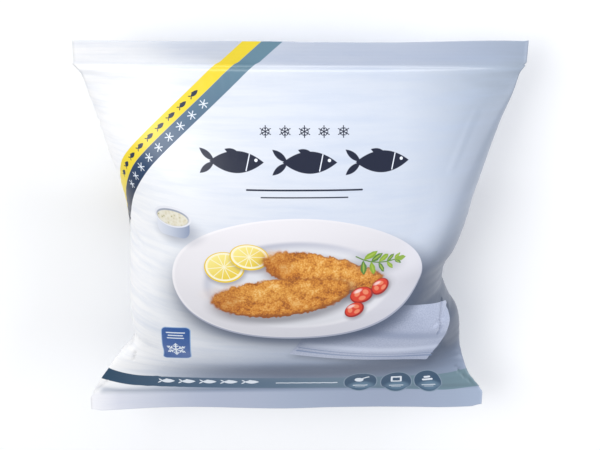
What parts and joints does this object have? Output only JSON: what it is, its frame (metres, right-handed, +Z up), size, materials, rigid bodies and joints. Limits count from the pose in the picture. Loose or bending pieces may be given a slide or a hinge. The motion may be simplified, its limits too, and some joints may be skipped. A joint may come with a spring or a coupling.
{
  "type": "frozen food pillow bag",
  "caption": "Full pillow bag of frozen crumbed fish fillets, lying on its back: a film tube with a flat welded seal at each end, pinched sides and flat corner ears.",
  "frame": {"origin": "on the surface that the bag lies on, under the middle of its bounding box", "axes": "+X across the bag to the right of its printed front, +Y towards its top seal, +Z up, out of its printed front"},
  "size_m": [0.28, 0.281, 0.1054],
  "materials": {
    "printed_film": "satin printed polyethylene film"
  },
  "bodies": {
    "root": {"pillow_pack": "printed_film"}
  },
  "joints": []
}
